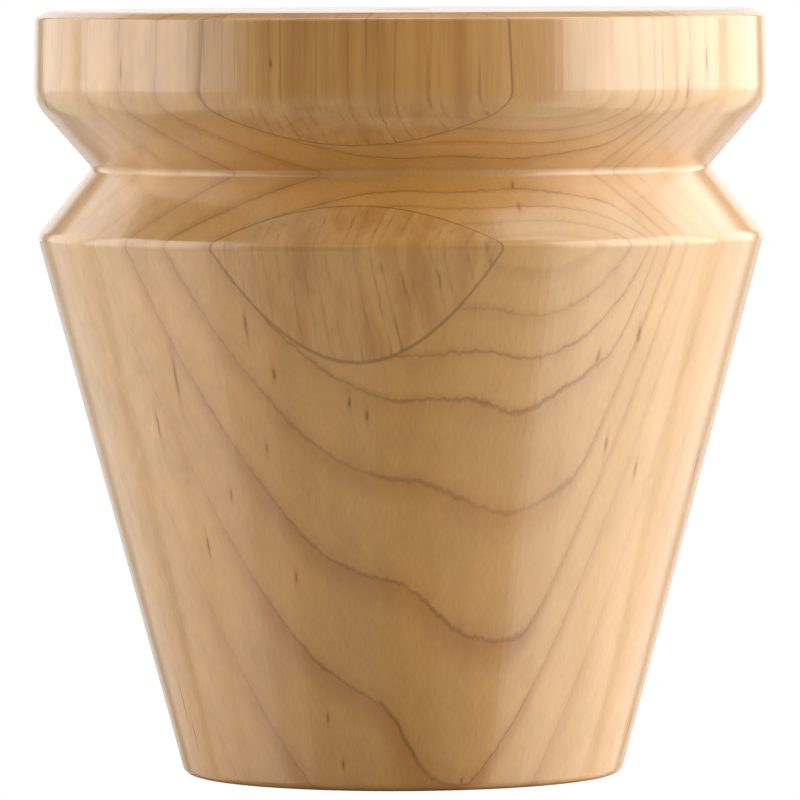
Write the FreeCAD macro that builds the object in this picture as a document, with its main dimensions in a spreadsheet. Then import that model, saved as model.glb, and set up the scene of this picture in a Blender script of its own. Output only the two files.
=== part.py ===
import FreeCAD, Part
import os

import Sketcher

# Bun foot: one solid turned from a glued-up maple blank.
# Millimetres, +Z up, the turning axis is Z and the sole lies on Z = 0.

# Driving dimensions, each with the plain words that the sheet shows beside it
SIZES = [
    ("foot_height", 114.3, "sole to top face"),
    ("top_bevel_width", 2.0, "bevel round the top face, measured inward from the band"),
    ("top_face_rounding", 3.0, "radius of the soft edge between the top face and its bevel"),
    ("band_top_diameter", 109.1, "band at its upper edge, under the bevel"),
    ("band_top_depth", 1.0, "top face down to the upper edge of the band"),
    ("band_top_rounding", 0.5, "radius of the upper edge of the band"),
    ("band_diameter", 109.6, "band at its lower corner"),
    ("band_depth", 13.5, "top face down to the lower corner of the band"),
    ("band_rounding", 6.2, "radius of the roll from the band into its underside"),
    ("neck_diameter", 92.3, "bottom of the V groove, as sharp lines would meet"),
    ("neck_depth", 23.4, "top face down to the bottom of the V groove"),
    ("neck_rounding", 0.9, "radius of the fillet in the bottom of the V groove"),
    ("bead_diameter", 108.7, "widest line under the groove, as sharp lines would meet"),
    ("bead_depth", 33.55, "top face down to the widest line under the groove"),
    ("bead_rounding", 2.0, "radius of the widest line under the groove"),
    ("sole_diameter", 65.5, "face on the floor, as sharp lines would meet"),
    ("sole_rounding", 1.5, "radius of the sole's edge"),
    ("pilot_diameter", 6.35, "blind hole for the wood thread of a hanger bolt"),
    ("pilot_depth", 38.1, "depth of that hole at its full diameter"),
    ("pilot_tip_angle", 118.0, "drill point at the bottom of that hole"),
    ("pilot_mouth_diameter", 9.5, "countersink at the mouth of that hole"),
    ("pilot_mouth_angle", 90.0, "included angle of the countersink"),
    ("centre_mark_diameter", 5.0, "dimple that the tail centre leaves in the sole"),
    ("centre_mark_angle", 60.0, "included angle of that dimple"),
]
FULL_TURN = 360.0
# A sketch's own names for its origin, its points and the plain corner of a fillet
ORIGIN = (-1, 1)
START, END, CENTRE = 1, 2, 3
TRIM_LINES = KEEP_CORNER = True


# Parametric document and its sheet of sizes
def make_sheet(doc):
    sheet = doc.addObject("Spreadsheet::Sheet", "sizes")
    for row, (alias, value, note) in enumerate(SIZES, start=1):
        sheet.set(f"A{row}", note)
        sheet.set(f"B{row}", str(value))
        sheet.setAlias(f"B{row}", alias)
    doc.recompute()
    return sheet


def sketch_on(body, name, role):
    plane = next(part for part in body.Origin.OriginFeatures if part.Role == role)
    sketch = body.newObject("Sketcher::SketchObject", name)
    sketch.AttachmentSupport = [(plane, "")]
    sketch.MapMode = "FlatFace"
    return sketch


# Constraint with a name, its value driven by an expression on the sheet
def bind(sketch, kind, references, name, expression):
    index = sketch.addConstraint(Sketcher.Constraint(kind, *references))
    sketch.renameConstraint(index, name)
    sketch.setExpression(f"Constraints.{name}", expression)


# Closed loop of lines that runs out level from the origin and comes back down the axis
def add_loop(sketch, points):
    corners = [FreeCAD.Vector(across, up, 0) for across, up in points]
    ends = corners[1:] + corners[:1]
    lines = [sketch.addGeometry(Part.LineSegment(*pair)) for pair in zip(corners, ends)]
    for line, following in zip(lines, lines[1:] + lines[:1]):
        sketch.addConstraint(Sketcher.Constraint("Coincident", line, END, following, START))
    sketch.addConstraint(Sketcher.Constraint("Coincident", lines[0], START, *ORIGIN))
    sketch.addConstraint(Sketcher.Constraint("Horizontal", lines[0]))
    sketch.addConstraint(Sketcher.Constraint("Vertical", lines[-1]))
    return lines


# Rounded corner at the end of a line, its radius driven by the sheet
def round_corner(sketch, line, name, radius):
    arc = len(sketch.Geometry)
    sketch.fillet(line, END, radius, TRIM_LINES, KEEP_CORNER)
    bind(sketch, "Radius", (arc, radius), f"{name}_rounding", f"sizes.{name}_rounding")


# Half section of the foot: sole, straight taper, bead, V groove, band, bevel, top face
def add_profile(body, sheet):
    height = sheet.foot_height
    turned_levels = ("bead", "neck", "band", "band_top")
    middle_depths = {name: getattr(sheet, f"{name}_depth") for name in turned_levels}
    depths = {"sole": height, **middle_depths, "top_face": 0}
    radii = {name: getattr(sheet, f"{name}_diameter") / 2 for name in ("sole", *turned_levels)}
    radii["top_face"] = radii["band_top"] - sheet.top_bevel_width
    rules = {name: f"sizes.{name}_diameter / 2" for name in radii}
    rules["top_face"] = "sizes.band_top_diameter / 2 - sizes.top_bevel_width"
    corners = [(radii[name], height - depth) for name, depth in depths.items()]
    sketch = sketch_on(body, "side_profile", "XZ_Plane")
    lines = add_loop(sketch, [(0, 0)] + corners + [(0, height)])
    top_face, axis = lines[-2:]
    sketch.addConstraint(Sketcher.Constraint("Horizontal", top_face))
    bind(sketch, "DistanceY", (*ORIGIN, axis, START, height), "height", "sizes.foot_height")
    for line, (name, radius) in zip(lines, radii.items()):
        across = (*ORIGIN, line, END, radius)
        bind(sketch, "DistanceX", across, f"{name}_radius", rules[name])
        if name in middle_depths:
            down = (line, END, axis, START, middle_depths[name])
            bind(sketch, "DistanceY", down, f"{name}_depth", f"sizes.{name}_depth")
    for line, name in zip(lines, radii):
        round_corner(sketch, line, name, getattr(sheet, f"{name}_rounding"))
    return sketch


def turn(body, kind, name, sketch):
    feature = body.newObject(kind, name)
    feature.Profile = sketch
    feature.ReferenceAxis = (sketch, ["V_Axis"])
    feature.Angle = FULL_TURN
    body.Document.recompute()
    return feature


# Blind pilot hole in the middle of the top face, with a drill point and a countersink
def drill_pilot(body, sheet):
    sketch = sketch_on(body, "pilot_centre", "XY_Plane")
    sketch.setExpression("AttachmentOffset.Base.z", "sizes.foot_height")
    middle, up = FreeCAD.Vector(0, 0, 0), FreeCAD.Vector(0, 0, 1)
    circle = sketch.addGeometry(Part.Circle(middle, up, sheet.pilot_diameter / 2))
    sketch.addConstraint(Sketcher.Constraint("Coincident", circle, CENTRE, *ORIGIN))
    bind(sketch, "Diameter", (circle, sheet.pilot_diameter), "pilot", "sizes.pilot_diameter")
    body.Document.recompute()
    hole = body.newObject("PartDesign::Hole", "hanger_bolt_pilot")
    hole.Profile = sketch
    body.Document.recompute()
    hole.ThreadType = "None"
    hole.DepthType = "Dimension"
    hole.DrillPoint = "Angled"
    hole.HoleCutType = "Countersink"
    hole.setExpression("Diameter", "sizes.pilot_diameter")
    hole.setExpression("Depth", "sizes.pilot_depth")
    hole.setExpression("DrillPointAngle", "sizes.pilot_tip_angle")
    hole.setExpression("HoleCutDiameter", "sizes.pilot_mouth_diameter")
    hole.setExpression("HoleCutCountersinkAngle", "sizes.pilot_mouth_angle")
    body.Document.recompute()
    return hole


# Small cone in the middle of the sole, left by the tail centre of the lathe
def mark_centre(body, sheet):
    radius = sheet.centre_mark_diameter / 2
    sketch = sketch_on(body, "centre_mark_profile", "XZ_Plane")
    floor_line, _, axis = add_loop(sketch, [(0, 0), (radius, 0), (0, radius)])
    across = (*ORIGIN, floor_line, END, radius)
    bind(sketch, "DistanceX", across, "radius", "sizes.centre_mark_diameter / 2")
    up = (*ORIGIN, axis, START, radius)
    bind(sketch, "DistanceY", up, "depth", ".Constraints.radius / tan(sizes.centre_mark_angle * 0.5deg)")
    return turn(body, "PartDesign::Groove", "centre_mark", sketch)


def check_cut(before, after):
    if not after.Shape.Volume < before.Shape.Volume:
        raise RuntimeError(f"{after.Label} cuts nothing away")


def make_foot(doc, sheet):
    body = doc.addObject("PartDesign::Body", "turned_foot")
    body.Label = "turned_foot"
    body.Placement = FreeCAD.Placement()
    turned = turn(body, "PartDesign::Revolution", "turned_form", add_profile(body, sheet))
    drilled = drill_pilot(body, sheet)
    marked = mark_centre(body, sheet)
    check_cut(turned, drilled)
    check_cut(drilled, marked)
    body.Tip = marked
    doc.recompute()
    return body


def check(doc, sub_parts):
    for item in doc.Objects:
        if {"Invalid", "Error"} & set(item.State):
            raise RuntimeError(f"{item.Label} failed: {item.State}")
    for part in sub_parts:
        if part.Shape.isNull() or not part.Shape.isValid():
            raise RuntimeError(f"{part.Label} has no valid shape")


def main():
    doc = FreeCAD.newDocument("bun_foot")
    sheet = make_sheet(doc)
    sub_parts = [make_foot(doc, sheet)]
    check(doc, sub_parts)
    os.makedirs("parts", exist_ok=True)
    for part in sub_parts:
        part.Shape.exportStep(f"parts/{part.Label}.step")
        box = part.Shape.optimalBoundingBox(False)
        size = f"{box.XLength:.2f} x {box.YLength:.2f} x {box.ZLength:.2f} mm"
        print(f"{part.Label}: {size}, {part.Shape.Volume / 1000:.1f} cm3")


main()
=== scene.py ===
import math
import bpy
from mathutils import Matrix, Vector


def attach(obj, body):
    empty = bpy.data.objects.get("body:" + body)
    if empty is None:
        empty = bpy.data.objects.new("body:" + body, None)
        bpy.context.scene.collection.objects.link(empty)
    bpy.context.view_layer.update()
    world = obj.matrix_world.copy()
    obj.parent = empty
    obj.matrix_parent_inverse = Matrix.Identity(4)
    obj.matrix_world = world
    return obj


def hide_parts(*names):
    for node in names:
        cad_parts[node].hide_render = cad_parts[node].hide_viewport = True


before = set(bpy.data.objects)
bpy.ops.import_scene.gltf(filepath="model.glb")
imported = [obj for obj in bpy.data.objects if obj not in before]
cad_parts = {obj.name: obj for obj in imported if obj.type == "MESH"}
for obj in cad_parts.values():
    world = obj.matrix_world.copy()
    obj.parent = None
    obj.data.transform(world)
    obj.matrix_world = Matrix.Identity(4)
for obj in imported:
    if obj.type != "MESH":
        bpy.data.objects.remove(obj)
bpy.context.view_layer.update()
print("frame loaded, nodes:", ", ".join(sorted(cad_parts)))

mm = 0.001  # sizes below are in millimetres, Blender's are in metres


def linearColour(hexColour):
    channels = [int(hexColour[i:i + 2], 16) / 255 for i in (1, 3, 5)]
    linear = [c / 12.92 if c <= 0.04045 else ((c + 0.055) / 1.055) ** 2.4 for c in channels]
    return (*linear, 1)


def addNode(tree, kind, links=None, output=0, **settings):
    node = tree.nodes.new(kind)
    for name, value in settings.items():
        setattr(node, name, value)
    for socket, value in (links or {}).items():
        if isinstance(value, bpy.types.NodeSocket):
            tree.links.new(value, node.inputs[socket])
        else:
            node.inputs[socket].default_value = value
    return node.outputs if output is None else node.outputs[output]


# the turned foot: radii from the axis, depths down from the top face
turnedFoot = {
    "Foot Height": 114.3,
    "Top Face Radius": 52.55,
    "Top Face Rounding": 3.0,
    "Band Top Radius": 54.55,
    "Band Top Depth": 1.0,
    "Band Top Rounding": 0.5,
    "Band Radius": 54.8,
    "Band Depth": 13.5,
    "Band Rounding": 6.2,
    "Neck Radius": 46.15,
    "Neck Depth": 23.4,
    "Neck Rounding": 0.9,
    "Bead Radius": 54.35,
    "Bead Depth": 33.55,
    "Bead Rounding": 2.0,
    "Sole Radius": 32.75,
    "Sole Rounding": 1.5,
    "Pilot Radius": 3.175,
    "Pilot Depth": 38.1,
    "Pilot Tip Length": 1.91,
    "Mouth Radius": 4.75,
    "Mouth Depth": 1.575,
    "Centre Mark Radius": 2.5,
    "Centre Mark Height": 4.33,
    "Row Spacing": 1.5,  # between rows of faces on the straight runs
    "Sharp Angle": math.radians(35),  # edges of the drilling stay crisp, the roundings stay smooth
    "Weld Distance": 0.001,
    "Points Round": 240,
    "Points per Rounding": 14,
}


def footTree(name):
    tree = bpy.data.node_groups.new(name, "GeometryNodeTree")
    tree.interface.new_socket("Foot", in_out="OUTPUT", socket_type="NodeSocketGeometry")
    for label, value in turnedFoot.items():
        kind = "NodeSocketInt" if isinstance(value, int) else "NodeSocketFloat"
        tree.interface.new_socket(label, in_out="INPUT", socket_type=kind)
    tree.interface.new_socket("Finish", in_out="INPUT", socket_type="NodeSocketMaterial")
    size = addNode(tree, "NodeGroupInput", output=None)

    def level(depth):  # height of a level that is given by its depth
        return addNode(tree, "ShaderNodeMath", {0: size["Foot Height"], 1: depth}, operation="SUBTRACT")

    pilotFloor = level(size["Pilot Depth"])
    pilotTip = addNode(tree, "ShaderNodeMath", {0: pilotFloor, 1: size["Pilot Tip Length"]},
                       operation="SUBTRACT")
    corners = [  # radius, height and rounding, from the end of the pilot hole round to the centre mark
        (0.0, pilotTip, 0.0),
        (size["Pilot Radius"], pilotFloor, 0.0),
        (size["Pilot Radius"], level(size["Mouth Depth"]), 0.0),
        (size["Mouth Radius"], size["Foot Height"], 0.0),
        (size["Top Face Radius"], size["Foot Height"], size["Top Face Rounding"]),
        (size["Band Top Radius"], level(size["Band Top Depth"]), size["Band Top Rounding"]),
        (size["Band Radius"], level(size["Band Depth"]), size["Band Rounding"]),
        (size["Neck Radius"], level(size["Neck Depth"]), size["Neck Rounding"]),
        (size["Bead Radius"], level(size["Bead Depth"]), size["Bead Rounding"]),
        (size["Sole Radius"], 0.0, size["Sole Rounding"]),
        (size["Centre Mark Radius"], 0.0, 0.0),
        (0.0, size["Centre Mark Height"], 0.0),
    ]

    # the outline of half the section, with its corners rounded
    index = addNode(tree, "GeometryNodeInputIndex")
    corner = addNode(tree, "GeometryNodeIndexSwitch", {"Index": index}, data_type="VECTOR")
    rounding = addNode(tree, "GeometryNodeIndexSwitch", {"Index": index}, data_type="FLOAT")
    for switch in (corner.node, rounding.node):
        while len(switch.index_switch_items) < len(corners):
            switch.index_switch_items.new()
    for number, (radius, height, radiusOfRounding) in enumerate(corners):
        point = addNode(tree, "ShaderNodeCombineXYZ", {"X": radius, "Z": height})
        tree.links.new(point, corner.node.inputs[str(number)])
        if radiusOfRounding:
            tree.links.new(radiusOfRounding, rounding.node.inputs[str(number)])
    chain = addNode(tree, "GeometryNodeMeshLine", {"Count": len(corners)})
    outline = addNode(tree, "GeometryNodeSetPosition", {"Geometry": chain, "Position": corner})
    outline = addNode(tree, "GeometryNodeMeshToCurve", {"Mesh": outline})
    rounded = {"Curve": outline, "Radius": rounding, "Count": size["Points per Rounding"]}
    outline = addNode(tree, "GeometryNodeFilletCurve", rounded, mode="POLY")

    # straight runs are divided, so that the shading of a rounding doesn't spread over them
    place = addNode(tree, "GeometryNodeInputPosition")
    nextIndex = addNode(tree, "ShaderNodeMath", {0: index, 1: 1.0}, operation="ADD")
    nextPlace = addNode(tree, "GeometryNodeFieldAtIndex", {"Index": nextIndex, "Value": place},
                        data_type="FLOAT_VECTOR")
    run = addNode(tree, "ShaderNodeVectorMath", {0: place, 1: nextPlace}, output="Value",
                  operation="DISTANCE")
    cuts = addNode(tree, "ShaderNodeMath", {0: run, 1: size["Row Spacing"]}, operation="DIVIDE")
    outline = addNode(tree, "GeometryNodeSubdivideCurve", {"Curve": outline, "Cuts": cuts})

    # a flat grid is wrapped round the axis: each of its rows is one point of the outline, turned
    rows = addNode(tree, "GeometryNodeAttributeDomainSize", {"Geometry": outline}, output="Point Count",
                   component="CURVE")
    lastRow = addNode(tree, "ShaderNodeMath", {0: rows, 1: 1.0}, operation="SUBTRACT")
    columns = addNode(tree, "ShaderNodeMath", {0: size["Points Round"], 1: 1.0}, operation="ADD")
    sheet = addNode(tree, "GeometryNodeMeshGrid",
                    {"Size X": 2 * math.pi, "Size Y": lastRow, "Vertices X": columns, "Vertices Y": rows})
    onSheet = addNode(tree, "ShaderNodeSeparateXYZ", {0: place}, output=None)
    row = addNode(tree, "ShaderNodeMath", {0: lastRow, 1: 0.5, 2: onSheet["Y"]}, operation="MULTIPLY_ADD")
    row = addNode(tree, "ShaderNodeMath", {0: row}, operation="ROUND")
    onOutline = addNode(tree, "GeometryNodeSampleIndex", {"Geometry": outline, "Value": place, "Index": row},
                        data_type="FLOAT_VECTOR")
    turned = addNode(tree, "ShaderNodeVectorRotate", {"Vector": onOutline, "Angle": onSheet["X"]},
                     rotation_type="Z_AXIS")
    foot = addNode(tree, "GeometryNodeSetPosition", {"Geometry": sheet, "Position": turned})
    foot = addNode(tree, "GeometryNodeMergeByDistance", {"Geometry": foot, "Distance": size["Weld Distance"]})
    foot = addNode(tree, "GeometryNodeTransform", {"Geometry": foot, "Scale": (mm, mm, mm)})
    edgeAngle = addNode(tree, "GeometryNodeInputMeshEdgeAngle")
    soft = addNode(tree, "ShaderNodeMath", {0: edgeAngle, 1: size["Sharp Angle"]}, operation="LESS_THAN")
    foot = addNode(tree, "GeometryNodeSetShadeSmooth", {"Geometry": foot, "Shade Smooth": soft},
                   domain="EDGE")
    foot = addNode(tree, "GeometryNodeRealizeInstances", {"Geometry": foot})
    foot = addNode(tree, "GeometryNodeSetMaterial", {"Geometry": foot, "Material": size["Finish"]})
    addNode(tree, "NodeGroupOutput", {"Foot": foot}, output=None)
    return tree


def turnFoot(name, finish):
    foot = bpy.data.objects.new(name, bpy.data.meshes.new(name))
    bpy.context.scene.collection.objects.link(foot)
    turning = foot.modifiers.new("turning", "NODES")
    turning.node_group = footTree(name)
    values = {**turnedFoot, "Finish": finish}
    for item in turning.node_group.interface.items_tree:
        if item.in_out == "INPUT":
            turning[item.identifier] = values[item.name]
    evaluated = foot.evaluated_get(bpy.context.evaluated_depsgraph_get())
    foot.data = bpy.data.meshes.new_from_object(evaluated)
    foot.modifiers.clear()
    return foot


# hard maple, glued up from four boards, turned, sanded smooth and sprayed with clear satin lacquer: warm tan
# wood with thin brown growth lines, short dark flecks along the grain and soft-edged bright reflections
clearMaple = {
    "wood": "#d0974a",
    "sapwoodAndPaintedLight": "#e0b47c",  # sapwood toward the sides of the boards, together with painted light: it also makes the flanks that face the side softboxes lighter and whiter
    "lateWood": "#b06a1e",  # the browner wood that ends each year's growth
    "growthLine": "#84500f",
    "cheekWood": "#d29a51",  # the front and back boards
    "cheekLine": "#86551c",
    "glueLine": "#7c4f1a",
    "fleck": "#87500c",
    "fleckHalo": "#c07c26",
    "lacquerRoughness": 0.16,
    "lacquerIor": 1.6,
    "woodRoughness": 0.55,
    "boardTurn": 7.4,  # degrees that the glue lines are turned from the front
    "boardThickness": 49.8,  # a two-inch board, planed
    "backSlide": 46.0,  # the back boards are the front ones turned round and slid along
    "glueWidth": 0.12,
    "glueCore": 0.03,
    "pithPlace": -7.0,  # the heart of the tree lay left of the middle of the boards
    "paleFrom": 10.0,  # across the board, from the heart to where the sapwood and the painted light on the flanks begin
    "paleTo": 46.0,
    "firstRing": 48.3,  # depth of the growth line behind the glue line
    "outerRingSpacing": 1.75,
    "ringSpacing": 2.8,
    "ringSpacingGain": 0.85,  # each ring further in is this much wider
    "stepLevels": (33.6, 49.3),  # the growth lines step down to the right, the outer ones most
    "stepPlace": (-0.3, 22.0),
    "stepFall": (3.5, 10.2),
    "stepWidth": (10.0, 38.0),
    "stepGuess": 4.0,  # millimetres, for the first pass
    "bowFrom": -6.0,  # left of this the growth lines bow back
    "bow": 0.004,
    "growthLineWidth": 0.17,
    "growthLineCore": 0.01,
    "lineWidths": (0.6, 1.3),  # of a thin and of a thick stretch, in line widths
    "lineWidthPatches": (-0.2, 0.2),
    "lineStrengthPatches": (-0.25, 0.1),
    "weakestLine": 0.45,
    "lineSpread": 0.35,  # how much lines differ from each other
    "innerLevels": (14.0, 31.0),  # the lines fade toward the heart of the board
    "innerLines": 0.12,
    "outerRings": (-2.6, -1.4),  # and toward its outer face
    "flank": (17.0, 31.0),  # and toward its sides, but only those of the inner rings
    "flankLevels": (38.0, 46.0),
    "flankLines": 0.28,
    "shadeBehind": 0.34,  # browner wood on the inner side of a line, as a share of the ring
    "shadeBefore": 0.8,  # and a little before the next one
    "shadeBeforeStrength": 0.45,
    "brownRings": (0.0, 2.0),  # strongest from the third ring on
    "palestShade": 0.35,
    "warpSize": (16.0, 16.0, 60.0),
    "warp": 0.9,
    "trembleSize": (0.9, 0.9, 14.0),  # a growth line steps from fibre to fibre
    "tremble": 0.36,
    "patchSize": (7.0, 7.0, 18.0),
    "cheekRingSpacing": 2.3,
    "cheekSlant": 0.75,  # the rings of the cheek boards run back to the left
    "cheekWarp": 1.5,
    "cheekTremble": 0.35,
    "cheekLinePlace": (0.25, 0.75),  # within the ring
    "cheekLineWidth": 0.14,
    "cheekLineCore": 0.02,
    "cheekLinePatches": (-0.1, 0.2),
    "weakestCheekLine": 0.15,
    "cheekLineSpread": 0.7,
    "cheekPatchSize": (1.3, 1.3, 15.0),
    "cheekShadeSize": (3.2, 3.2, 70.0),
    "cheekShadePatches": (-0.1, 0.2),
    "fibreSize": (0.35, 0.35, 9.0),  # the fibres are finer, and drawn as coarse as they need to show
    "fibreTone": 0.24,
    "fibreDepth": 0.02,
    "fibreRelief": 0.25,
    "streakSize": (2.5, 2.5, 45.0),
    "streakTone": 0.16,
    "mottleSize": (9.0, 9.0, 13.0),
    "mottleTone": 0.26,
    "curlSize": (2.6, 2.6, 4.2),  # the wavy figure toward the left edge of the boards
    "curlPlace": (-18.0, -40.0),
    "curlTone": 0.3,
    "endGrainDarkening": 0.25,  # cut fibres drink more lacquer
    "endGrainFacing": (0.8, 0.97),
    "fleckRadius": 47.0,  # flecks are placed on a cylinder of this radius
    "fleckWidth": 0.45,
    "fleckEdge": (0.3, 0.62),  # in fleck widths from its middle
    "haloEdge": (0.6, 1.4),
    "fleckJitterSize": (1.6, 1.6, 3.5),
    "fleckJitter": 0.6,
    "sideFleckSpacing": (7.5, 45.0),
    "sideFleckWidths": (0.8, 2.4),  # divisors: from a wide fleck to a thin one
    "sideFlecksFrom": (68.0, 74.0),  # degrees from the front
    "noFlecksFrom": (174.0, 177.0),  # where the angle round the foot starts again
    "noFleck": 9.0,  # a distance past any fleck
}

# the flecks in front: for each length in millimetres, degrees to the right of the front and height
frontFlecks = {
    1.1: [(20, 89), (20, 86), (15, 1.5)],
    1.7: [(-34, 44), (-22, 62), (-6, 56), (-9, 58), (-25, 51), (-22, 32), (-15, 4), (-18, 11), (35, 64),
          (-20, 107)],
    2.5: [(43, 67), (40, 51), (49, 47)],
    3.6: [(-48, 106), (55, 107), (50, 103), (-49, 54), (-26, 69), (-42, 36), (-63, 7)],
    5.8: [(-42, 61), (-65, 12)],
}


# the solid that the foot is turned from, in millimetres: across the boards, forward from the middle and along
# the grain
def gluedBoards(tree):
    look = clearMaple
    place = addNode(tree, "ShaderNodeTexCoord", output="Object")
    place = addNode(tree, "ShaderNodeVectorMath", {0: place, "Scale": 1 / mm}, operation="SCALE")
    boards = addNode(tree, "ShaderNodeMapping",
                     {"Vector": place, "Rotation": (0, 0, math.radians(look["boardTurn"]))})
    boards = addNode(tree, "ShaderNodeSeparateXYZ", {0: boards}, output=None)
    forward = addNode(tree, "ShaderNodeMath", {0: boards["Y"], 1: -1.0}, operation="MULTIPLY")
    side = addNode(tree, "ShaderNodeMath", {0: forward}, operation="SIGN")  # 1 in front, -1 behind
    fromMiddle = addNode(tree, "ShaderNodeMath", {0: forward}, operation="ABSOLUTE")
    pastCheek = addNode(tree, "ShaderNodeMath", {0: fromMiddle, 1: look["boardThickness"]},
                        operation="SUBTRACT")
    fromCheek = addNode(tree, "ShaderNodeMath", {0: pastCheek}, operation="ABSOLUTE")
    axes = addNode(tree, "ShaderNodeSeparateXYZ", {0: place}, output=None)
    across = addNode(tree, "ShaderNodeMath", {0: axes["X"], 1: side}, operation="MULTIPLY")
    depth = addNode(tree, "ShaderNodeMath", {0: axes["Y"], 1: side}, operation="MULTIPLY")
    depth = addNode(tree, "ShaderNodeMath", {0: depth, 1: -1.0}, operation="MULTIPLY")
    slide = addNode(tree, "ShaderNodeMath", {0: side, 1: 1.0}, operation="SUBTRACT")
    along = addNode(tree, "ShaderNodeMath", {0: slide, 1: look["backSlide"] / 2, 2: axes["Z"]},
                    operation="MULTIPLY_ADD")
    return {
        "place": place,
        "across": across,
        "depth": depth,
        "grain": addNode(tree, "ShaderNodeCombineXYZ", {"X": across, "Y": depth, "Z": along}),
        "inCheek": addNode(tree, "ShaderNodeMath", {0: pastCheek, 1: 0.0}, operation="GREATER_THAN"),
        "glue": addNode(tree, "ShaderNodeMath", {0: fromMiddle, 1: fromCheek}, operation="MINIMUM"),
    }


# a pattern of the wood, drawn out along the grain, from -0.5 to 0.5
def woodPattern(tree, grain, size, detail=2.0):
    scaled = addNode(tree, "ShaderNodeVectorMath", {0: grain, 1: size}, operation="DIVIDE")
    pattern = addNode(tree, "ShaderNodeTexNoise", {"Vector": scaled, "Scale": 1.0, "Detail": detail})
    return addNode(tree, "ShaderNodeMath", {0: pattern, 1: 0.5}, operation="SUBTRACT")


# growth rings of the two middle boards, which are flat sawn: a level is a depth in the board with its step
# evened out
def ringLevel(tree, wood, warp, tremble):
    look = clearMaple
    low, high = look["stepLevels"]
    left = addNode(tree, "ShaderNodeMath", {0: wood["across"], 1: look["bowFrom"]}, operation="SUBTRACT")
    left = addNode(tree, "ShaderNodeMath", {0: left, 1: 0.0}, operation="MINIMUM")
    bow = addNode(tree, "ShaderNodeMath", {0: left, 1: left}, operation="MULTIPLY")
    bowed = addNode(tree, "ShaderNodeMath", {0: bow, 1: look["bow"], 2: wood["depth"]},
                    operation="MULTIPLY_ADD")
    level = addNode(tree, "ShaderNodeMath", {0: bowed, 1: look["stepGuess"]}, operation="ADD")
    for _ in range(2):  # the second pass reads the step at the level that the first one found
        step = {}
        for name in ("stepPlace", "stepFall", "stepWidth"):
            start, end = look[name]
            limits = {"From Min": low, "From Max": high, "To Min": start, "To Max": end}
            step[name] = addNode(tree, "ShaderNodeMapRange", {"Value": level, **limits})
        toRight = addNode(tree, "ShaderNodeMath", {0: wood["across"], 1: step["stepPlace"]},
                          operation="SUBTRACT")
        toRight = addNode(tree, "ShaderNodeMath", {0: toRight, 1: step["stepWidth"]}, operation="DIVIDE")
        fall = addNode(tree, "ShaderNodeMapRange",
                       {"Value": toRight, "From Min": -0.5, "From Max": 0.5, "To Max": step["stepFall"]},
                       interpolation_type="SMOOTHSTEP")
        level = addNode(tree, "ShaderNodeMath", {0: bowed, 1: fall}, operation="ADD")
    level = addNode(tree, "ShaderNodeMath", {0: warp, 1: look["warp"], 2: level}, operation="MULTIPLY_ADD")
    return addNode(tree, "ShaderNodeMath", {0: tremble, 1: look["tremble"], 2: level},
                   operation="MULTIPLY_ADD")


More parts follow.
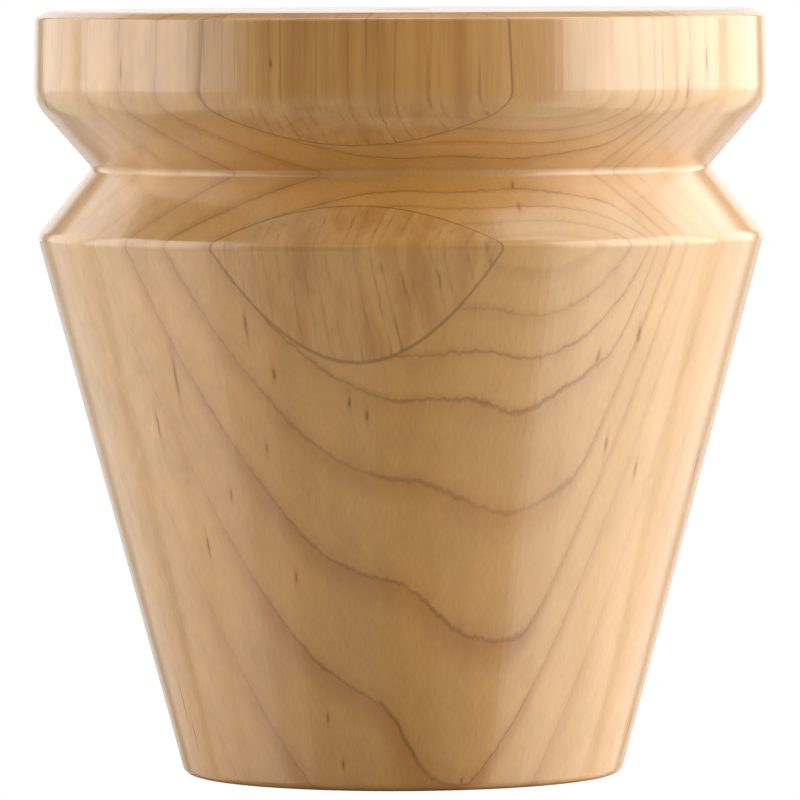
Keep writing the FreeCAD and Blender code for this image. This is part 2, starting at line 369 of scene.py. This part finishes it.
def growthRings(tree, wood, warp, tremble):
    look = clearMaple
    level = ringLevel(tree, wood, warp, tremble)
    spacing, gain = look["ringSpacing"], look["ringSpacingGain"]
    behind = addNode(tree, "ShaderNodeMath", {0: look["firstRing"], 1: level}, operation="SUBTRACT")
    before = addNode(tree, "ShaderNodeMath", {0: behind, 1: 0.0}, operation="MINIMUM")
    behind = addNode(tree, "ShaderNodeMath", {0: behind, 1: 0.0}, operation="MAXIMUM")
    width = addNode(tree, "ShaderNodeMath", {0: behind, 1: 2 * gain, 2: spacing ** 2},
                    operation="MULTIPLY_ADD")
    width = addNode(tree, "ShaderNodeMath", {0: width}, operation="SQRT")  # of the ring at this level
    ring = addNode(tree, "ShaderNodeMath", {0: width, 1: spacing}, operation="SUBTRACT")
    ring = addNode(tree, "ShaderNodeMath", {0: ring, 1: gain}, operation="DIVIDE")
    ring = addNode(tree, "ShaderNodeMath", {0: before, 1: 1 / look["outerRingSpacing"], 2: ring},
                   operation="MULTIPLY_ADD")
    nearest = addNode(tree, "ShaderNodeMath", {0: ring}, operation="ROUND")
    far = addNode(tree, "ShaderNodeMath", {0: ring, 1: nearest}, operation="SUBTRACT")
    far = addNode(tree, "ShaderNodeMath", {0: far}, operation="ABSOLUTE")
    far = addNode(tree, "ShaderNodeMath", {0: far, 1: width}, operation="MULTIPLY")

    # a line is darker and wider in patches, and lines differ from each other
    patch = woodPattern(tree, wood["grain"], look["patchSize"])
    low, high = look["lineWidthPatches"]
    thin, thick = (share * look["growthLineWidth"] for share in look["lineWidths"])
    wide = addNode(tree, "ShaderNodeMapRange",
                   {"Value": patch, "From Min": low, "From Max": high, "To Min": thin, "To Max": thick})
    line = addNode(tree, "ShaderNodeMapRange",
                   {"Value": far, "From Min": wide, "From Max": look["growthLineCore"]},
                   interpolation_type="SMOOTHSTEP")
    low, high = look["lineStrengthPatches"]
    patchy = addNode(tree, "ShaderNodeMapRange",
                     {"Value": patch, "From Min": low, "From Max": high, "To Min": look["weakestLine"]})
    lineId = addNode(tree, "ShaderNodeTexWhiteNoise", {"W": nearest}, noise_dimensions="1D")
    own = addNode(tree, "ShaderNodeMath", {0: lineId, 1: look["lineSpread"], 2: 1 - look["lineSpread"]},
                  operation="MULTIPLY_ADD")

    # lines fade toward the heart, the outer face and the sides of the board
    low, high = look["innerLevels"]
    inner = addNode(tree, "ShaderNodeMapRange",
                    {"Value": level, "From Min": low, "From Max": high, "To Min": look["innerLines"]})
    low, high = look["outerRings"]
    outer = addNode(tree, "ShaderNodeMapRange", {"Value": ring, "From Min": low, "From Max": high})
    aside = addNode(tree, "ShaderNodeMath", {0: wood["across"]}, operation="ABSOLUTE")
    low, high = look["flank"]
    flank = addNode(tree, "ShaderNodeMapRange",
                    {"Value": aside, "From Min": low, "From Max": high, "To Max": 1 - look["flankLines"]})
    low, high = look["flankLevels"]
    deep = addNode(tree, "ShaderNodeMapRange", {"Value": level, "From Min": high, "From Max": low})
    flank = addNode(tree, "ShaderNodeMath", {0: flank, 1: deep}, operation="MULTIPLY")
    onFace = addNode(tree, "ShaderNodeMath", {0: 1.0, 1: flank}, operation="SUBTRACT")
    for share in (patchy, own, inner, outer, onFace):
        line = addNode(tree, "ShaderNodeMath", {0: line, 1: share}, operation="MULTIPLY")

    # the browner wood beside the lines
    part = addNode(tree, "ShaderNodeMath", {0: ring}, operation="FRACT")
    behindLine = addNode(tree, "ShaderNodeMapRange",
                         {"Value": part, "From Min": look["shadeBehind"], "From Max": 0.0},
                         interpolation_type="SMOOTHSTEP")
    low, high = look["brownRings"]
    brown = addNode(tree, "ShaderNodeMapRange",
                    {"Value": ring, "From Min": low, "From Max": high, "To Min": look["palestShade"]})
    behindLine = addNode(tree, "ShaderNodeMath", {0: behindLine, 1: brown}, operation="MULTIPLY")
    beforeLine = addNode(tree, "ShaderNodeMapRange",
                         {"Value": part, "From Min": look["shadeBefore"], "From Max": 1.0,
                          "To Max": look["shadeBeforeStrength"]}, interpolation_type="SMOOTHSTEP")
    shade = addNode(tree, "ShaderNodeMath", {0: behindLine, 1: beforeLine}, operation="MAXIMUM")
    for share in (inner, onFace):
        shade = addNode(tree, "ShaderNodeMath", {0: shade, 1: share}, operation="MULTIPLY")
    return line, shade


# the cheek boards show their rings on edge, as close upright lines, some of them dark
def cheekRings(tree, wood, warp, tremble):
    look = clearMaple
    level = addNode(tree, "ShaderNodeMath", {0: wood["depth"], 1: look["cheekSlant"], 2: wood["across"]},
                    operation="MULTIPLY_ADD")
    level = addNode(tree, "ShaderNodeMath", {0: level, 1: look["cheekRingSpacing"]}, operation="DIVIDE")
    for pattern, share in ((warp, look["cheekWarp"]), (tremble, look["cheekTremble"])):
        level = addNode(tree, "ShaderNodeMath", {0: pattern, 1: share, 2: level}, operation="MULTIPLY_ADD")
    ring = addNode(tree, "ShaderNodeMath", {0: level}, operation="FLOOR")
    part = addNode(tree, "ShaderNodeMath", {0: level}, operation="FRACT")
    ringId = addNode(tree, "ShaderNodeTexWhiteNoise", {"W": ring}, output=None, noise_dimensions="1D")
    low, high = look["cheekLinePlace"]
    linePlace = addNode(tree, "ShaderNodeMath", {0: ringId["Value"], 1: high - low, 2: low},
                        operation="MULTIPLY_ADD")
    far = addNode(tree, "ShaderNodeMath", {0: part, 1: linePlace}, operation="SUBTRACT")
    far = addNode(tree, "ShaderNodeMath", {0: far}, operation="ABSOLUTE")
    line = addNode(tree, "ShaderNodeMapRange",
                   {"Value": far, "From Min": look["cheekLineWidth"], "From Max": look["cheekLineCore"]},
                   interpolation_type="SMOOTHSTEP")
    patch = woodPattern(tree, wood["grain"], look["cheekPatchSize"])
    low, high = look["cheekLinePatches"]
    patchy = addNode(tree, "ShaderNodeMapRange",
                     {"Value": patch, "From Min": low, "From Max": high, "To Min": look["weakestCheekLine"]})
    spread = look["cheekLineSpread"]
    own = addNode(tree, "ShaderNodeSeparateColor", {0: ringId["Color"]}, output="Green")
    own = addNode(tree, "ShaderNodeMath", {0: own, 1: spread, 2: 1 - spread}, operation="MULTIPLY_ADD")
    for share in (patchy, own):
        line = addNode(tree, "ShaderNodeMath", {0: line, 1: share}, operation="MULTIPLY")
    shade = woodPattern(tree, wood["grain"], look["cheekShadeSize"])
    low, high = look["cheekShadePatches"]
    shade = addNode(tree, "ShaderNodeMapRange", {"Value": shade, "From Min": low, "From Max": high},
                    interpolation_type="SMOOTHSTEP")
    return line, shade


# distance to the nearest fleck, in fleck widths; a fleck lies on the turned skin, drawn out along the grain
def fleckDistance(tree, wood):
    look = clearMaple
    radius = look["fleckRadius"]
    axes = addNode(tree, "ShaderNodeSeparateXYZ", {0: wood["place"]}, output=None)
    spoke = addNode(tree, "ShaderNodeCombineXYZ", {"X": axes["X"], "Y": axes["Y"]})
    spoke = addNode(tree, "ShaderNodeVectorMath", {0: spoke}, operation="NORMALIZE")
    spoke = addNode(tree, "ShaderNodeVectorMath", {0: spoke, "Scale": radius}, operation="SCALE")
    height = addNode(tree, "ShaderNodeCombineXYZ", {"Z": axes["Z"]})
    onSkin = addNode(tree, "ShaderNodeVectorMath", {0: spoke, 1: height}, operation="ADD")
    jitter = addNode(tree, "ShaderNodeVectorMath", {0: wood["place"], 1: look["fleckJitterSize"]},
                     operation="DIVIDE")
    jitter = addNode(tree, "ShaderNodeTexNoise", {"Vector": jitter, "Scale": 1.0}, output="Color")
    jitter = addNode(tree, "ShaderNodeVectorMath", {0: jitter, 1: (0.5, 0.5, 0.5)}, operation="SUBTRACT")
    jitter = addNode(tree, "ShaderNodeVectorMath", {0: jitter, "Scale": look["fleckJitter"]},
                     operation="SCALE")
    onSkin = addNode(tree, "ShaderNodeVectorMath", {0: onSkin, 1: jitter}, operation="ADD")

    nearest = None
    for length, places in frontFlecks.items():
        stretch = length / look["fleckWidth"]
        drawnOut = addNode(tree, "ShaderNodeVectorMath", {0: onSkin, 1: (1.0, 1.0, stretch)},
                           operation="DIVIDE")
        for toRight, fleckHeight in places:
            turn = math.radians(toRight)
            centre = (radius * math.sin(turn), -radius * math.cos(turn), fleckHeight / stretch)
            far = addNode(tree, "ShaderNodeVectorMath", {0: drawnOut, 1: centre}, output="Value",
                          operation="DISTANCE")
            if nearest:
                far = addNode(tree, "ShaderNodeMath", {0: nearest, 1: far}, operation="MINIMUM")
            nearest = far

    # elsewhere the flecks are strewn, one in each patch of skin
    backward = addNode(tree, "ShaderNodeMath", {0: axes["Y"], 1: -1.0}, operation="MULTIPLY")
    toRight = addNode(tree, "ShaderNodeMath", {0: axes["X"], 1: backward}, operation="ARCTAN2")
    patchWidth, patchHeight = look["sideFleckSpacing"]
    patch = addNode(tree, "ShaderNodeCombineXYZ", {"X": toRight, "Y": axes["Z"]})
    patch = addNode(tree, "ShaderNodeVectorMath", {0: patch, 1: (radius / patchWidth, 1 / patchHeight, 0.0)},
                    operation="MULTIPLY")
    strewn = addNode(tree, "ShaderNodeTexVoronoi", {"Vector": patch, "Scale": 1.0}, output=None,
                     voronoi_dimensions="2D")
    far = addNode(tree, "ShaderNodeMath", {0: strewn["Distance"], 1: patchWidth}, operation="MULTIPLY")
    own = addNode(tree, "ShaderNodeSeparateColor", {0: strewn["Color"]}, output="Green")
    wideFleck, thinFleck = look["sideFleckWidths"]
    own = addNode(tree, "ShaderNodeMath", {0: own, 1: thinFleck - wideFleck, 2: wideFleck},
                  operation="MULTIPLY_ADD")
    far = addNode(tree, "ShaderNodeMath", {0: far, 1: own}, operation="MULTIPLY")
    away = addNode(tree, "ShaderNodeMath", {0: toRight}, operation="ABSOLUTE")
    low, high = (math.radians(angle) for angle in look["sideFlecksFrom"])
    inFront = addNode(tree, "ShaderNodeMapRange", {"Value": away, "From Min": high, "From Max": low})
    low, high = (math.radians(angle) for angle in look["noFlecksFrom"])
    atSeam = addNode(tree, "ShaderNodeMapRange", {"Value": away, "From Min": low, "From Max": high})
    none = addNode(tree, "ShaderNodeMath", {0: inFront, 1: atSeam}, operation="ADD")
    far = addNode(tree, "ShaderNodeMath", {0: none, 1: look["noFleck"], 2: far}, operation="MULTIPLY_ADD")
    far = addNode(tree, "ShaderNodeMath", {0: nearest, 1: far}, operation="MINIMUM")
    return addNode(tree, "ShaderNodeMath", {0: far, 1: look["fleckWidth"]}, operation="DIVIDE")


# how much lighter or darker the wood is than its own colour, from its fibres, streaks, mottling and curl
def woodTone(tree, wood):
    look = clearMaple
    fibre = woodPattern(tree, wood["grain"], look["fibreSize"], detail=3.0)
    tone = addNode(tree, "ShaderNodeMath", {0: fibre, 1: look["fibreTone"], 2: 1.0}, operation="MULTIPLY_ADD")
    for kind in ("streak", "mottle"):
        pattern = woodPattern(tree, wood["grain"], look[kind + "Size"])
        tone = addNode(tree, "ShaderNodeMath", {0: pattern, 1: look[kind + "Tone"], 2: tone},
                       operation="MULTIPLY_ADD")
    curl = woodPattern(tree, wood["grain"], look["curlSize"], detail=1.0)
    start, end = look["curlPlace"]
    limits = {"From Min": start, "From Max": end, "To Max": look["curlTone"]}
    curled = addNode(tree, "ShaderNodeMapRange", {"Value": wood["across"], **limits},
                     interpolation_type="SMOOTHSTEP")
    tone = addNode(tree, "ShaderNodeMath", {0: curl, 1: curled, 2: tone}, operation="MULTIPLY_ADD")
    facing = addNode(tree, "ShaderNodeTexCoord", output="Normal")
    facing = addNode(tree, "ShaderNodeSeparateXYZ", {0: facing}, output="Z")
    facing = addNode(tree, "ShaderNodeMath", {0: facing}, operation="ABSOLUTE")
    low, high = look["endGrainFacing"]
    endGrain = addNode(tree, "ShaderNodeMapRange",
                       {"Value": facing, "From Min": low, "From Max": high,
                        "To Min": 1.0, "To Max": 1 - look["endGrainDarkening"]},
                       interpolation_type="SMOOTHSTEP")
    tone = addNode(tree, "ShaderNodeMath", {0: tone, 1: endGrain}, operation="MULTIPLY")
    return tone, fibre


def mapleFinish(name):
    look = clearMaple
    material = bpy.data.materials.new(name)
    material.use_nodes = True
    tree = material.node_tree
    tree.nodes.clear()
    wood = gluedBoards(tree)
    warp = woodPattern(tree, wood["grain"], look["warpSize"], detail=1.0)
    tremble = woodPattern(tree, wood["grain"], look["trembleSize"], detail=3.0)
    growthLine, lateWood = growthRings(tree, wood, warp, tremble)
    cheekLine, cheekShade = cheekRings(tree, wood, warp, tremble)
    fleckFar = fleckDistance(tree, wood)
    tone, fibre = woodTone(tree, wood)

    # paler sapwood away from the heart, mixed with painted light: the flanks that face the side softboxes are
    # painted lighter and whiter
    fromPith = addNode(tree, "ShaderNodeMath", {0: wood["across"], 1: look["pithPlace"]},
                       operation="SUBTRACT")
    fromPith = addNode(tree, "ShaderNodeMath", {0: fromPith}, operation="ABSOLUTE")
    pale = addNode(tree, "ShaderNodeMapRange",
                   {"Value": fromPith, "From Min": look["paleFrom"], "From Max": look["paleTo"]},
                   interpolation_type="SMOOTHSTEP")
    inMiddle = addNode(tree, "ShaderNodeMath", {0: 1.0, 1: wood["inCheek"]}, operation="SUBTRACT")
    glue = addNode(tree, "ShaderNodeMapRange",
                   {"Value": wood["glue"], "From Min": look["glueWidth"], "From Max": look["glueCore"]},
                   interpolation_type="SMOOTHSTEP")
    low, high = look["haloEdge"]
    halo = addNode(tree, "ShaderNodeMapRange", {"Value": fleckFar, "From Min": high, "From Max": low},
                   interpolation_type="SMOOTHSTEP")
    low, high = look["fleckEdge"]
    fleck = addNode(tree, "ShaderNodeMapRange", {"Value": fleckFar, "From Min": high, "From Max": low},
                    interpolation_type="SMOOTHSTEP")
    layers = [  # colour laid over the wood, where it lies, how strong it is, and the boards that have it
        ("cheekWood", wood["inCheek"], 1.0, None),
        # paler sapwood and painted light: lighter, whiter flanks where the side softboxes fall
        ("sapwoodAndPaintedLight", pale, 0.75, None),
        ("lateWood", lateWood, 0.55, inMiddle),
        ("lateWood", cheekShade, 0.4, wood["inCheek"]),
        ("growthLine", growthLine, 0.66, inMiddle),
        ("cheekLine", cheekLine, 0.75, wood["inCheek"]),
        ("glueLine", glue, 0.55, None),
        ("fleckHalo", halo, 0.4, None),
        ("fleck", fleck, 0.75, None),
    ]
    colour = linearColour(look["wood"])
    for layer, where, strength, boards in layers:
        amount = addNode(tree, "ShaderNodeMath", {0: where, 1: strength}, operation="MULTIPLY")
        if boards:
            amount = addNode(tree, "ShaderNodeMath", {0: amount, 1: boards}, operation="MULTIPLY")
        laid = {"Factor": amount, "A": colour, "B": linearColour(look[layer])}
        colour = addNode(tree, "ShaderNodeMix", laid, output="Result", data_type="RGBA")
    colour = addNode(tree, "ShaderNodeVectorMath", {0: colour, "Scale": tone}, operation="SCALE")
    relief = {"Height": fibre, "Distance": look["fibreDepth"] * mm, "Strength": look["fibreRelief"]}
    grainRelief = addNode(tree, "ShaderNodeBump", relief)
    shader = addNode(tree, "ShaderNodeBsdfPrincipled", {
        "Base Color": colour, "Roughness": look["woodRoughness"], "Normal": grainRelief,
        "Coat Weight": 1.0, "Coat Roughness": look["lacquerRoughness"], "Coat IOR": look["lacquerIor"],
    })
    addNode(tree, "ShaderNodeOutputMaterial", {"Surface": shader}, output=None)
    return material


foot = turnFoot("turned_maple_foot", mapleFinish("clearMaple"))
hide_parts("turned_foot")
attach(foot, "root")
print("foot turned:", len(foot.data.vertices), "points,", len(foot.data.polygons), "faces")

# softboxes round the foot: degrees to the right of the front, elevation, distance, width, height, brightness
studioLights = {
    "rightFront": (60, 0, 1200, 400, 1000, 3.5),
    "rightSoftbox": (80, 0, 1200, 500, 1000, 4.6),
    "rightEdge": (105, 0, 1200, 500, 1000, 3.8),
    "rightRear": (135, 0, 1200, 600, 1000, 2.1),
    "leftFront": (-60, 0, 1200, 400, 1000, 1.6),
    "leftSoftbox": (-80, 0, 1200, 500, 1000, 3.1),
    "leftEdge": (-105, 0, 1200, 500, 1000, 2.6),
    "leftRear": (-135, 0, 1200, 600, 1000, 1.4),
    "backdrop": (180, 0, 1300, 1000, 1000, 1.1),
    "frontRight": (38, 28, 1300, 900, 500, 0.45),
    "frontLeft": (-32, 28, 1300, 900, 500, 0.65),
    "upperRightFront": (60, 55, 1300, 600, 700, 0.7),
    "upperRight": (90, 55, 1300, 700, 700, 1.6),
    "upperRightRear": (130, 50, 1300, 700, 600, 1.0),
    "upperLeftFront": (-60, 55, 1300, 600, 700, 0.6),
    "upperRear": (180, 70, 1300, 1200, 500, 2.8),
    "overhead": (0, 89, 1300, 500, 500, 1.7),
}
studio = {
    "softboxClearance": 5,  # the low softboxes stand this far above the floor
    "floorSize": 4000,
    "floorColour": "#aaaaaa",
    "floorGloss": 0.45,  # a polished acrylic sheet, which mirrors the softboxes from below
    "floorRoughness": 0.15,
    "ambient": 0.0,  # the room is dark, so that all light comes from the softboxes
}


def studioLight(name, angle, elevation, distance, width, height, brightness):
    data = bpy.data.lights.new(name, "AREA")
    data.shape = "RECTANGLE"
    data.size = width * mm
    data.size_y = height * mm
    data.energy = math.pi * data.size * data.size_y * brightness
    light = bpy.data.objects.new(name, data)
    bpy.context.scene.collection.objects.link(light)
    standing = height / 2 + studio["softboxClearance"]  # the low ones face the foot on the level
    aimHeight = turnedFoot["Foot Height"] / 2 if elevation else standing
    turn, tilt = math.radians(angle), math.radians(elevation)
    reach = Vector((math.sin(turn) * math.cos(tilt), -math.cos(turn) * math.cos(tilt), math.sin(tilt)))
    light.location = (reach * distance + Vector((0, 0, aimHeight))) * mm
    light.rotation_euler = reach.to_track_quat("Z", "Y").to_euler()
    light.visible_camera = False


def whiteToCamera(tree, shader):  # the background is plain white in the picture
    white = addNode(tree, "ShaderNodeEmission", {"Strength": 1.0})
    seen = addNode(tree, "ShaderNodeLightPath", output="Is Camera Ray")
    return addNode(tree, "ShaderNodeMixShader", {0: seen, 1: shader, 2: white})


def studioFloor():
    half = studio["floorSize"] / 2 * mm
    mesh = bpy.data.meshes.new("studioFloor")
    corners = [(-half, -half, 0), (half, -half, 0), (half, half, 0), (-half, half, 0)]
    mesh.from_pydata(corners, [], [(0, 1, 2, 3)])
    floor = bpy.data.objects.new("studioFloor", mesh)
    bpy.context.scene.collection.objects.link(floor)
    acrylicSheet = bpy.data.materials.new("whiteAcrylic")
    acrylicSheet.use_nodes = True
    tree = acrylicSheet.node_tree
    tree.nodes.clear()
    matt = addNode(tree, "ShaderNodeBsdfDiffuse", {"Color": linearColour(studio["floorColour"])})
    gloss = addNode(tree, "ShaderNodeBsdfGlossy",
                    {"Color": (1, 1, 1, 1), "Roughness": studio["floorRoughness"]})
    polished = addNode(tree, "ShaderNodeMixShader", {0: studio["floorGloss"], 1: matt, 2: gloss})
    addNode(tree, "ShaderNodeOutputMaterial", {"Surface": whiteToCamera(tree, polished)}, output=None)
    acrylicSheet.cycles.emission_sampling = "NONE"  # its plain white is no lamp
    mesh.materials.append(acrylicSheet)


for name, light in studioLights.items():
    studioLight(name, *light)
studioFloor()
world = bpy.data.worlds.new("studio")
world.use_nodes = True
worldTree = world.node_tree
worldTree.nodes.clear()
dim = addNode(worldTree, "ShaderNodeBackground", {"Strength": studio["ambient"]})
addNode(worldTree, "ShaderNodeOutputWorld", {"Surface": whiteToCamera(worldTree, dim)}, output=None)
bpy.context.scene.world = world
bpy.context.scene.view_settings.view_transform = "Standard"
print("studio lit:", len(studioLights), "lights")

# a long lens from 1.3 m away, a little above the top face
photoCamera = {
    "distance": 1333.0,
    "height": 124.4,
    "aimX": -0.23,
    "aimHeight": 55.8,
    "lens": 400.9,
    "roll": -0.258,  # degrees
    "farthest": 100,  # metres
}
cameraData = bpy.data.cameras.new("photoCamera")
cameraData.lens = photoCamera["lens"]
cameraData.clip_end = photoCamera["farthest"]
camera = bpy.data.objects.new("photoCamera", cameraData)
bpy.context.scene.collection.objects.link(camera)
cameraPlace = Vector((0, -photoCamera["distance"], photoCamera["height"])) * mm
aim = Vector((photoCamera["aimX"], 0, photoCamera["aimHeight"])) * mm
towardAim = (aim - cameraPlace).to_track_quat("-Z", "Y").to_matrix().to_4x4()
camera.matrix_world = (Matrix.Translation(cameraPlace) @ towardAim
                       @ Matrix.Rotation(math.radians(photoCamera["roll"]), 4, "Z"))
bpy.context.scene.camera = camera
print("camera set")
